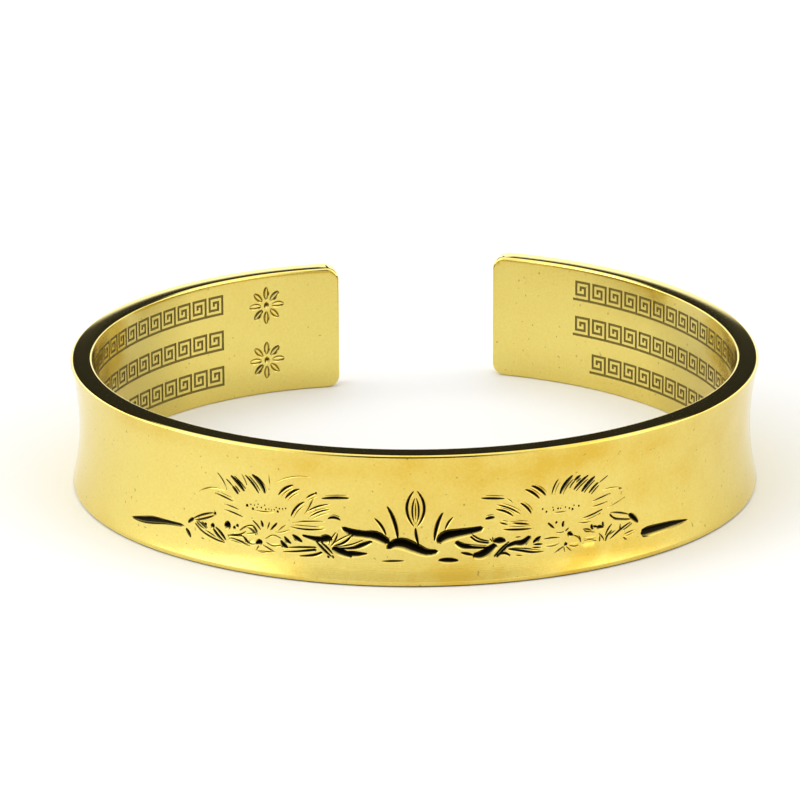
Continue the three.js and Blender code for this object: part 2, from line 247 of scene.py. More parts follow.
RIGHT_OUTER_LEAVES = (
    Cut(13.55, 3.75, 14.1, 3.45, 0, 0.42),
    Cut(13.25, 2.65, 12.2, 2.08, 0, 0.12),
    Cut(13.2, 2.6, 13.25, 2.08, 0, 0.1),
    Cut(13.35, 2.6, 13.9, 2.1, 0, 0.1),
    Cut(11.2, 3.42, 12.95, 3.35, 0.06, 0.14),
    Cut(11.3, 2.9, 12.9, 2.95, -0.1, 0.11),
    Cut(14.6, 3.35, 14.75, 2.7, 0.15, 0.14),
    Cut(15.0, 3.8, 15.95, 3.52, 0.08, 0.18),
    Cut(15.0, 2.98, 16.4, 2.85, -0.05, 0.1),
    Cut(15.9, 4.15, 16.05, 3.62, 0, 0.28),
    Cut(16.35, 3.8, 17.15, 3.65, 0, 0.34),
    Cut(17.05, 4.2, 17.1, 3.7, 0, 0.22),
    Cut(16.0, 3.95, 16.6, 3.75, 0, 0.2),
    Cut(17.7, 4.85, 19.95, 4.22, 0.04, 0.15),
    Sweep(((17.72, 4.75, 0.16), (18.4, 4.18, 0.17), (20.1, 3.76, 0.14))),
    Cut(19.7, 4.32, 20.8, 3.3, 0.08, 0.5),
    Cut(18.05, 3.85, 17.2, 2.8, -0.08, 0.12),
    Cut(18.9, 3.7, 18.72, 3.05, 0, 0.12),
    Cut(20.05, 3.6, 17.55, 2.38, -0.03, 0.2),
    Cut(20.15, 3.5, 18.9, 2.95, 0.05, 0.13),
    Cut(20.45, 2.75, 19.0, 2.52, -0.05, 0.12),
    Cut(20.3, 2.6, 19.1, 2.4, 0.03, 0.09),
    Cut(19.0, 2.4, 19.45, 2.1, 0, 0.11),
    Cut(16.55, 3.25, 17.15, 2.35, 0.08, 0.13),
    Cut(16.75, 3.1, 16.6, 2.45, 0, 0.11),
    Dot(13.37, 2.75, 0.34),
    Sweep(((14.02, 3.48, 0.08), (14.5, 3.26, 0.12), (14.78, 2.9, 0.08))),
    Sweep(((13.66, 2.63, 0.08), (14.15, 2.45, 0.11), (14.6, 2.5, 0.08))),
    Sweep(((15.14, 3.75, 0.08), (15.5, 3.55, 0.14), (16.3, 3.31, 0.08))),
    Sweep(((15.05, 2.76, 0.08), (15.7, 2.78, 0.11), (16.4, 2.55, 0.08))),
    Sweep(((17.2, 2.36, 0.08), (17.4, 2.8, 0.13), (18.0, 3.3, 0.08))),
    Cut(17.57, 2.77, 18.4, 3.14, 0.05, 0.12),
    Pad(12.06, 3.1, 1.6, 0.6),
    Pad(14.19, 2.98, 1.1, 0.75),
    Pad(15.75, 3.22, 1.4, 0.7),
    Pad(15.6, 2.62, 1.3, 0.4),
)

RIGHT_INNER_LEAVES = (
    Sweep(((5.0, 4.5, 0.15), (5.7, 4.0, 0.2), (6.6, 3.75, 0.12))),
    Sweep(((4.85, 4.35, 0.2), (5.5, 3.85, 0.22), (6.6, 3.6, 0.2))),
    Sweep(((3.55, 3.95, 0.35), (4.2, 3.5, 0.54), (5.2, 3.3, 0.3), (6.6, 3.2, 0.2))),
    Sweep(((3.7, 3.95, 0.08), (4.6, 3.62, 0.12), (6.5, 3.38, 0.08))),
    Sweep(((5.0, 2.6, 0.35), (5.8, 2.62, 0.7), (6.5, 2.98, 0.7), (7.2, 3.5, 0.4))),
    Cut(4.0, 2.93, 5.2, 2.62, 0, 0.28),
    Cut(6.85, 3.75, 8.0, 3.72, 0, 0.62),
    Cut(6.8, 4.2, 6.95, 3.5, 0, 0.14),
    Cut(6.55, 4.05, 6.85, 3.6, 0, 0.12),
    Cut(7.05, 4.1, 7.0, 3.6, 0, 0.1),
    Sweep(((8.35, 3.65, 0.12), (7.6, 3.05, 0.22), (6.85, 2.32, 0.16))),
    Sweep(((8.25, 3.4, 0.2), (7.75, 2.9, 0.28), (7.05, 2.3, 0.18))),
    Sweep(((7.9, 3.15, 0.3), (8.75, 3.38, 0.42), (9.5, 3.38, 0.56), (10.25, 3.95, 0.3))),
    Cut(10.35, 3.25, 11.15, 3.78, 0, 0.34),
    Cut(10.35, 3.12, 11.3, 3.04, 0, 0.2),
    Cut(8.75, 3.92, 9.35, 3.92, 0, 0.12),
    Sweep(((8.0, 3.0, 0.15), (9.2, 2.72, 0.25), (10.3, 2.45, 0.2), (11.5, 2.4, 0.05))),
    Sweep(((8.3, 2.98, 0.1), (9.6, 2.85, 0.14), (11.2, 2.5, 0.05))),
    Sweep(((7.0, 2.5, 0.12), (7.8, 2.62, 0.25), (8.35, 2.35, 0.15))),
    Cut(8.7, 2.36, 9.45, 2.24, 0, 0.11),
    Cut(10.2, 2.86, 11.15, 2.78, 0, 0.14),
)

# Stems, ripples and ground, and a bud with reeds between the stems
MIDDLE = (
    Sweep(((-6.5, 5.1, 0.25), (-5.4, 4.62, 0.68), (-4.4, 4.52, 0.66), (-3.3, 4.4, 0.85),
           (-2.1, 3.72, 0.55))),
    Sweep(((1.78, 3.82, 0.45), (2.5, 4.4, 0.92), (3.6, 4.62, 0.8), (4.8, 4.78, 0.64),
           (5.95, 5.0, 0.42))),
    Sweep(((-2.55, 3.2, 0.3), (-1.85, 3.75, 0.75), (-1.0, 3.78, 1.0), (0.0, 3.38, 0.92),
           (1.0, 3.0, 0.66), (2.1, 3.12, 0.3))),
    Cut(-3.0, 2.23, -0.85, 2.3, 0, 0.18),
    Cut(1.85, 2.34, 3.7, 2.24, 0, 0.44),
    Sweep(((-28.3, 2.1, 0.06), (-26.6, 2.35, 0.5), (-25.2, 2.62, 0.6), (-23.5, 2.85, 0.36),
           (-21.2, 3.02, 0.2))),
    Sweep(((20.65, 2.3, 0.5), (21.55, 2.32, 0.8), (23.0, 2.3, 0.72), (24.8, 2.25, 0.5),
           (26.8, 2.12, 0.05))),
    Cut(0.3, 3.6, 0.0, 5.3, 0.05, 0.3),
    Cut(-0.05, 5.2, 0.0, 8.8, 0.2, 0.28),
    Cut(0.05, 5.2, 0.0, 8.8, -0.2, 0.28),
    Cut(-0.1, 5.6, 0.0, 8.1, 0.09, 0.18),
    Cut(0.1, 5.6, 0.0, 8.1, -0.09, 0.18),
    Cut(0.0, 5.9, 0.0, 7.6, 0, 0.12),
    Cut(-1.5, 4.0, -2.5, 7.3, -0.06, 0.38),
    Cut(-2.5, 4.4, -3.6, 6.1, -0.08, 0.26),
    Cut(1.6, 3.9, 2.4, 6.7, 0.06, 0.36),
    Cut(2.5, 4.9, 3.3, 6.2, 0.08, 0.2),
)


def moved(cuts, along):
    """The same cuts, further along the band."""
    placed = []
    for cut in cuts:
        if isinstance(cut, Sweep):
            placed.append(Sweep(tuple((place + along, up, width) for place, up, width in cut.points)))
        elif isinstance(cut, Cut):
            placed.append(cut._replace(along=cut.along + along, to_along=cut.to_along + along))
        else:
            placed.append(cut._replace(along=cut.along + along))
    return tuple(placed)


# Hairlines: the width of a petal cut that has one, then its gap and width, and its ends over the cut's length
BOLD_CUT = 0.16
HAIR_GAP = 0.27
HAIR_WIDTH = 0.09
HAIR_START, HAIR_END = 0.12, 0.95


def hairlines(cuts):
    """A fine line beside each bold petal cut."""
    lines = []
    for cut in cuts:
        if not isinstance(cut, Cut) or cut.width < BOLD_CUT:
            continue
        origin = Vector((cut.along, cut.up))
        run = Vector((cut.to_along - cut.along, cut.to_up - cut.up))
        aside = Vector((-run.y, run.x)).normalized() * HAIR_GAP
        start = origin + run * HAIR_START + aside
        end = origin + run * HAIR_END + aside
        lines.append(Cut(*start, *end, cut.bow, HAIR_WIDTH))
    return tuple(lines)


# The charts of the right half reach this much too far out
RIGHT_SHIFT = -0.22
RIGHT_HALF = (
    *RIGHT_PETALS,
    *hairlines(RIGHT_PETALS),
    *RIGHT_SEEDS,
    *RIGHT_OUTER_LEAVES,
    *RIGHT_INNER_LEAVES,
)
FRONT_CUTS = (
    *LEFT_PETALS,
    *hairlines(LEFT_PETALS),
    *LEFT_SEEDS,
    *LEFT_OUTER_LEAVES,
    *LEFT_INNER_LEAVES,
    *moved(RIGHT_HALF, RIGHT_SHIFT),
    *MIDDLE,
)

# Inside: rows of square fret on both arms, and two rosettes by the left end
FRET_CHART = (
    "#######.",
    "#.....#.",
    "#.###.#.",
    "#.#.#.#.",
    "#.#...#.",
    "#.#####.",
    "#.......",
    "########",
)
FretRow = namedtuple("FretRow", "start up repeats")
FRET_ROWS = (
    FretRow(41.0, 8.7, 18),
    FretRow(41.0, 5.15, 18),
    FretRow(41.0, 1.6, 17),
    FretRow(-71.5, 8.7, 15),
    FretRow(-71.5, 5.15, 15),
    FretRow(-71.5, 1.6, 15),
)
Rosette = namedtuple("Rosette", "along up radius petals")
ROSETTES = (Rosette(-76.3, 8.9, 1.9, 8), Rosette(-76.3, 3.4, 1.9, 8))

# Amber tarnish on the outer face: middle, reach along and up, strength
Patch = namedtuple("Patch", "along up reach rise strength")
TARNISH = (
    Patch(14.0, 6.0, 20.0, 20.0, 0.3),
    Patch(0.0, 11.0, 13.0, 2.0, 0.4),
    Patch(13.5, 10.4, 7.0, 1.6, 0.6),
    Patch(5.0, 0.8, 18.0, 1.3, 0.6),
    Patch(17.0, 1.6, 6.0, 1.0, 0.4),
    Patch(-2.0, 6.5, 9.0, 3.0, 0.2),
    Patch(-8.5, 9.9, 4.0, 1.2, 0.3),
    Patch(-24.5, 11.5, 5.0, 0.9, 0.55),
    Patch(26.0, 8.0, 7.0, 4.0, 0.25),
)


class CuffSizes(bpy.types.PropertyGroup):
    """Sizes of the band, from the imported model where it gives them"""

    height: FloatProperty(
        name="Height", description="Height of the band", default=BAND_HIGH.z - BAND_LOW.z, unit="LENGTH")
    wall: FloatProperty(
        name="Wall", description="Thickness of the wall at the rims", default=0.002, unit="LENGTH")
    waist_dip: FloatProperty(
        name="Waist dip", description="How far the outer face dips between the rims", default=0.0007,
        unit="LENGTH")
    inner_round: FloatProperty(
        name="Inner round", description="Radius around the inner face", default=0.00025, unit="LENGTH")
    outer_round: FloatProperty(
        name="Outer round", description="Radius around the outer face", default=0.00028, unit="LENGTH")
    end_corner: FloatProperty(
        name="End corner", description="Corner radius of the two ends", default=0.0012, unit="LENGTH")
    front_radius: FloatProperty(
        name="Front radius", description="Radius of the front arc", default=0.032, unit="LENGTH")
    front_sweep: FloatProperty(
        name="Front sweep", description="Half the sweep of the front arc", default=math.radians(43),
        subtype="ANGLE")
    side_radius: FloatProperty(
        name="Side radius", description="Radius of the side arcs", default=0.0265, unit="LENGTH")
    side_sweep: FloatProperty(
        name="Side sweep", description="Sweep of each side arc", default=math.radians(47), subtype="ANGLE")
    left_radius: FloatProperty(
        name="Left arm radius", description="Radius of the left back arc", default=0.0265, unit="LENGTH")
    left_sweep: FloatProperty(
        name="Left arm sweep", description="Sweep of the left back arc", default=math.radians(82.3),
        subtype="ANGLE")
    right_radius: FloatProperty(
        name="Right arm radius", description="Radius of the right back arc", default=0.0311, unit="LENGTH")
    right_sweep: FloatProperty(
        name="Right arm sweep", description="Sweep of the right back arc", default=math.radians(73.7),
        subtype="ANGLE")


class CuffEngraving(bpy.types.PropertyGroup):
    """How the graver cuts"""

    spread: FloatProperty(
        name="Spread", description="Half width over depth of the graver's V", default=1.1)
    lift: FloatProperty(
        name="Lift", description="How far the cutter's widest edges stay above the face", default=0.00005,
        unit="LENGTH")
    rings: IntProperty(name="Rings", description="Rings along one cutter", default=14)
    fullness: FloatProperty(
        name="Fullness", description="Power of the sine that tapers a cut, lower is blunter", default=0.6)
    boldness: FloatProperty(
        name="Boldness", description="Width of the cuts over their drawn width", default=1.15)
    burr: FloatProperty(
        name="Burr", description="Width that every cut gains at its edges", default=0.00004, unit="LENGTH")
    pad_depth: FloatProperty(
        name="Pad depth", description="Depth of the scooped leaf pads", default=0.000024, unit="LENGTH")
    fret_pitch: FloatProperty(
        name="Fret pitch", description="Length and height of one fret", default=0.002, unit="LENGTH")
    fret_depth: FloatProperty(
        name="Fret depth", description="Depth of the fret", default=0.00006, unit="LENGTH")


class CuffLook(bpy.types.PropertyGroup):
    """Colours of the metal and of the stage"""

    brass: FloatVectorProperty(
        name="Brass", description="Polished brass", default=(0.81, 0.675, 0.195), subtype="COLOR")
    amber: FloatVectorProperty(
        name="Amber", description="Light tarnish", default=(0.7, 0.47, 0.065), subtype="COLOR")
    # Also the colour of the painted shade on the inner arms and along the lower outer edge
    oxide_and_painted_shade: FloatVectorProperty(
        name="Oxide", description="Dark bottom of the cuts", default=(0.014, 0.011, 0.005), subtype="COLOR")
    floor: FloatVectorProperty(
        name="Floor", description="Studio floor", default=(0.95, 0.95, 0.95), subtype="COLOR")
    sky: FloatProperty(name="Sky", description="Strength of the surrounding light", default=1.5)


def bench(value):
    """A length of the properties in bench millimetres."""
    return value / MM


def arms(sizes):
    """The plan's arcs from the front centre outwards, left and right, as (radius, sweep)."""
    front = (bench(sizes.front_radius), sizes.front_sweep)
    side = (bench(sizes.side_radius), sizes.side_sweep)
    left = (bench(sizes.left_radius), sizes.left_sweep)
    right = (bench(sizes.right_radius), sizes.right_sweep)
    return (front, side, left), (front, side, right)


def arm_length(arcs):
    return sum(radius * sweep for radius, sweep in arcs)


def only(piece):
    """Makes one object active, and the only one selected."""
    bpy.ops.object.select_all(action="DESELECT")
    piece.select_set(True)
    bpy.context.view_layer.objects.active = piece


def select_faces(piece, test):
    """Selects, in edit mode, the faces that pass the test, and what they hold."""
    bpy.ops.mesh.select_mode(type="FACE")
    bpy.ops.mesh.select_all(action="DESELECT")
    mesh = bmesh.from_edit_mesh(piece.data)
    for face in mesh.faces:
        if test(face):
            face.select_set(True)
    bmesh.update_edit_mesh(piece.data)


def coordinates(mesh):
    co = np.empty(len(mesh.vertices) * 3)
    mesh.vertices.foreach_get("co", co)
    return co.reshape(-1, 3)


def set_coordinates(mesh, co):
    mesh.vertices.foreach_set("co", co.ravel())
    mesh.update()


def rim_loop(piece, place):
    """Selects the edge loop around the face that lies at this y."""
    select_faces(piece, lambda face: abs(face.calc_center_median().y - place) < 1e-4)
    bpy.ops.mesh.region_to_loop()


class CUFF_OT_shape_bar(bpy.types.Operator):
    """Makes the flat bar: rounded corners, rounded edges, cut into stations"""

    bl_idname = "cuff.shape_bar"
    bl_label = "Shape the Flat Bar"

    corner_steps = 8
    round_steps = 5
    station = 1.0
    row = 0.5

    def execute(self, context):
        sizes = context.scene.cuff_sizes
        left, right = arms(sizes)
        length = arm_length(left) + arm_length(right)
        height = bench(sizes.height)
        wall = bench(sizes.wall)
        bpy.ops.object.select_all(action="DESELECT")
        bpy.ops.mesh.primitive_plane_add(
            size=1, location=(length / 2, -wall / 2, height / 2), rotation=(math.pi / 2, 0, 0))
        bar = context.object
        bar.name = BAR_NAME
        bar.scale = (length, height, 1)
        bpy.ops.object.transform_apply(location=True, rotation=True, scale=True)
        bpy.ops.object.mode_set(mode="EDIT")
        bpy.ops.mesh.bevel(
            affect="VERTICES", offset=bench(sizes.end_corner), segments=self.corner_steps,
            clamp_overlap=False)
        bpy.ops.mesh.select_all(action="SELECT")
        bpy.ops.mesh.extrude_region_move(TRANSFORM_OT_translate={"value": (0, wall, 0)})
        bpy.ops.mesh.select_all(action="SELECT")
        bpy.ops.mesh.normals_make_consistent(inside=False)
        for place, radius in ((wall / 2, sizes.inner_round), (-wall / 2, sizes.outer_round)):
            rim_loop(bar, place)
            bpy.ops.mesh.bevel(offset=bench(radius), segments=self.round_steps, clamp_overlap=False)
        stations = round(length / self.station)
        for i in range(1, stations):
            self.slice((length * i / stations, 0, 0), (1, 0, 0))
        rows = round(height / self.row)
        for i in range(1, rows):
            self.slice((0, 0, height * i / rows), (0, 0, 1))
        bpy.ops.object.mode_set(mode="OBJECT")
        return {"FINISHED"}

    @staticmethod
    def slice(place, normal):
        bpy.ops.mesh.select_all(action="SELECT")
        bpy.ops.mesh.bisect(plane_co=place, plane_no=normal, threshold=1e-4)


def cut_course(cut, t, fullness):
    """Places, ways and widths along a plain cut, at t from 0 to 1."""
    run = np.array((cut.to_along - cut.along, cut.to_up - cut.up))
    aside = np.array((-run[1], run[0])) * cut.bow
    places = np.array((cut.along, cut.up)) + np.outer(t, run) + np.outer(4 * t * (1 - t), aside)
    ways = run + np.outer(4 - 8 * t, aside)
    return places, ways, cut.width * np.sin(np.pi * t) ** fullness


def sweep_course(sweep, t, fullness):
    """Places, ways and widths along a smooth line through points, the width part of each point."""
    points = np.array(sweep.points)
    spans = len(points) - 1
    padded = np.vstack((2 * points[0] - points[1], points, 2 * points[-1] - points[-2]))
    span = np.minimum((t * spans).astype(int), spans - 1)
    f = (t * spans - span)[:, None]
    a, b, c, d = (padded[span + i] for i in range(4))
    first = c - a
    second = 2 * a - 5 * b + 4 * c - d
    third = 3 * (b - c) + d - a
    smooth = b + first * f / 2 + second * f**2 / 2 + third * f**3 / 2
    ways = first / 2 + second * f + third * f**2 * 1.5
    return smooth[:, :2], ways[:, :2], np.maximum(smooth[:, 2], 0)


def dot_course(dot, t, fullness):
    half = dot.size / 2
    return cut_course(Cut(dot.along - half, dot.up, dot.along + half, dot.up, 0, dot.size), t, fullness)


COURSES = {Cut: cut_course, Sweep: sweep_course, Dot: dot_course}


class Graver:
    """Lays copies of one four-sided spindle, and of one ball, on a face of the flat bar"""

    ball_height = 0.3
    burr_slope = 20

    def __init__(self, engraving, start, face):
        self.engraving = engraving
        self.start = start
        self.face = face
        self.outwards = math.copysign(1, face)
        bpy.ops.object.select_all(action="DESELECT")
        bpy.ops.mesh.primitive_uv_sphere_add(segments=4, ring_count=engraving.rings, radius=1)
        self.spindle = bpy.context.object
        bpy.ops.mesh.primitive_uv_sphere_add(segments=24, ring_count=16, radius=1)
        self.ball = bpy.context.object

    def cutter(self, master, co):
        copy = master.copy()
        copy.data = master.data.copy()
        bpy.context.collection.objects.link(copy)
        set_coordinates(copy.data, co)
        return copy

    def lay(self, cut):
        if isinstance(cut, Pad):
            return self.scoop(cut)
        spread = self.engraving.spread
        lift = bench(self.engraving.lift)
        across, depth, ahead = coordinates(self.spindle.data).T
        ring = np.sqrt(np.maximum(1 - ahead**2, 0))
        ring[ring < 1e-3] = np.inf
        t = np.clip(1 - np.arccos(np.clip(ahead, -1, 1)) / np.pi, 0, 1)
        places, ways, widths = COURSES[type(cut)](cut, t, self.engraving.fullness)
        ways = ways / np.linalg.norm(ways, axis=1)[:, None]
        burr = bench(self.engraving.burr) * np.minimum(widths * self.burr_slope, 1)
        reach = (widths * self.engraving.boldness + burr) / 2 + lift * spread
        aside = -across / ring * reach
        co = np.empty((len(t), 3))
        co[:, 0] = places[:, 0] - self.start - ways[:, 1] * aside
        co[:, 1] = self.face + self.outwards * lift + depth / ring * reach / spread
        co[:, 2] = places[:, 1] + ways[:, 0] * aside
        return self.cutter(self.spindle, co)

    def scoop(self, pad):
        """A ball pressed so flat that it only takes out a shallow oval."""
        above = 1 - bench(self.engraving.pad_depth) / self.ball_height
        grow = 1 / math.sqrt(1 - above**2)
        size = np.array((pad.length / 2 * grow, self.ball_height, pad.height / 2 * grow))
        rise = self.outwards * above * self.ball_height
        middle = np.array((pad.along - self.start, self.face + rise, pad.up))
        return self.cutter(self.ball, coordinates(self.ball.data) * size + middle)

    def put_away(self):
        bpy.data.objects.remove(self.spindle)
        bpy.data.objects.remove(self.ball)


def footprint(cutter):
    co = coordinates(cutter.data)
    return co[:, 0].min(), co[:, 0].max(), co[:, 2].min(), co[:, 2].max()


def overlap(a, b):
    return a[0] < b[1] and b[0] < a[1] and a[2] < b[3] and b[2] < a[3]


def subtract(bar, tool):
    only(bar)
    cut = bar.modifiers.new("cut", "BOOLEAN")
    cut.object = tool
    cut.operation = "DIFFERENCE"
    cut.solver = "MANIFOLD"
    bpy.ops.object.modifier_apply(modifier=cut.name)
    bpy.data.objects.remove(tool)


def cut_in_passes(bar, cutters):
    """Takes the cutters out of the bar, in passes of cutters that are clear of each other."""
    waiting = [(cutter, footprint(cutter)) for cutter in cutters]
    while waiting:
        chosen = []
        rest = []
        for item in waiting:
            clear = not any(overlap(item[1], other[1]) for other in chosen)
            (chosen if clear else rest).append(item)
        only(chosen[0][0])
        for cutter, _ in chosen:
            cutter.select_set(True)
        bpy.ops.object.join()
        subtract(bar, bpy.context.object)
        waiting = rest


class CUFF_OT_engrave_front(bpy.types.Operator):
    """Engraves the lotus blossoms, leaves, stems and ripples on the outer face"""

    bl_idname = "cuff.engrave_front"
    bl_label = "Engrave the Front"

    def execute(self, context):
        sizes = context.scene.cuff_sizes
        start = -arm_length(arms(sizes)[0])
        graver = Graver(context.scene.cuff_engraving, start, -bench(sizes.wall) / 2)
        cutters = [graver.lay(cut) for cut in FRONT_CUTS]
        graver.put_away()
        cut_in_passes(bpy.data.objects[BAR_NAME], cutters)
        return {"FINISHED"}


def fret_row(row, start, face, engraving):
    """A cutter for one row of fret: charted cells of a grid, repeated, then pushed into the inner face."""
    pitch = bench(engraving.fret_pitch)
    depth = bench(engraving.fret_depth)
    lift = bench(engraving.lift)
    cells = len(FRET_CHART)
    left = row.start - start
    bpy.ops.object.select_all(action="DESELECT")
    bpy.ops.mesh.primitive_grid_add(
        x_subdivisions=cells, y_subdivisions=cells, size=pitch, rotation=(math.pi / 2, 0, 0),
        location=(left + pitch / 2, face - depth, row.up + pitch / 2))
    fret = bpy.context.object
    bpy.ops.object.transform_apply(location=True, rotation=True, scale=True)
    bpy.ops.object.mode_set(mode="EDIT")

    def blank(cell):
        middle = cell.calc_center_median()
        column = int((middle.x - left) / pitch * cells)
        line = cells - 1 - int((middle.z - row.up) / pitch * cells)
        return FRET_CHART[line][column] == "."

    select_faces(fret, blank)
    bpy.ops.mesh.delete(type="FACE")
    bpy.ops.object.mode_set(mode="OBJECT")
    repeat = fret.modifiers.new("repeat", "ARRAY")
    repeat.count = row.repeats
    repeat.use_relative_offset = False
    repeat.use_constant_offset = True
    repeat.constant_offset_displace = (pitch, 0, 0)
    repeat.use_merge_vertices = True
    repeat.merge_threshold = pitch / cells / 10
    bpy.ops.object.modifier_apply(modifier=repeat.name)
    bpy.ops.object.mode_set(mode="EDIT")
    bpy.ops.mesh.select_all(action="SELECT")
    bpy.ops.mesh.extrude_region_move(TRANSFORM_OT_translate={"value": (0, depth + lift, 0)})
    bpy.ops.mesh.select_all(action="SELECT")
    bpy.ops.mesh.normals_make_consistent(inside=False)
    bpy.ops.object.mode_set(mode="OBJECT")
    return fret


# A rosette's petals: where they start and the size of the dot, both over its radius, then bow and width
PETAL_START = 0.28
ROSETTE_DOT = 0.3
PETAL_BOW = 0.15
PETAL_WIDTH = 0.2


def rosette_cuts(rosette):
    """Leaf-shaped petals around a centre, each with two edges."""
    centre = Vector((rosette.along, rosette.up))
    for i in range(rosette.petals):
        angle = math.tau * i / rosette.petals
        way = Vector((math.cos(angle), math.sin(angle)))
        near = centre + way * rosette.radius * PETAL_START
        tip = centre + way * rosette.radius
        for bow in (-PETAL_BOW, PETAL_BOW):
            yield Cut(*near, *tip, bow, PETAL_WIDTH)
    yield Dot(*centre, rosette.radius * ROSETTE_DOT)


class CUFF_OT_engrave_inside(bpy.types.Operator):
    """Engraves rows of fret and two rosettes on the inner face"""

    bl_idname = "cuff.engrave_inside"
    bl_label = "Engrave the Inside"

    def execute(self, context):
        sizes = context.scene.cuff_sizes
        engraving = context.scene.cuff_engraving
        start = -arm_length(arms(sizes)[0])
        face = bench(sizes.wall) / 2
        bar = bpy.data.objects[BAR_NAME]
        for row in FRET_ROWS:
            subtract(bar, fret_row(row, start, face, engraving))
        graver = Graver(engraving, start, face)
        cutters = [graver.lay(cut) for rosette in ROSETTES for cut in rosette_cuts(rosette)]
        graver.put_away()
        cut_in_passes(bar, cutters)
        return {"FINISHED"}


def plan_walk(arcs, step):
    """Points along one arm of the plan, from the front centre outwards."""
    place = Vector((0.0, 0.0))
    heading = 0.0
    points = [place.copy()]
    for radius, sweep in arcs:
        count = max(1, round(radius * sweep / step))
        for i in range(1, count + 1):
            turn = sweep * i / count
            x = radius * (math.sin(heading + turn) - math.sin(heading))
            y = radius * (math.cos(heading) - math.cos(heading + turn))
            points.append(place + Vector((x, y)))
        heading += sweep
        place = points[-1].copy()
    return points


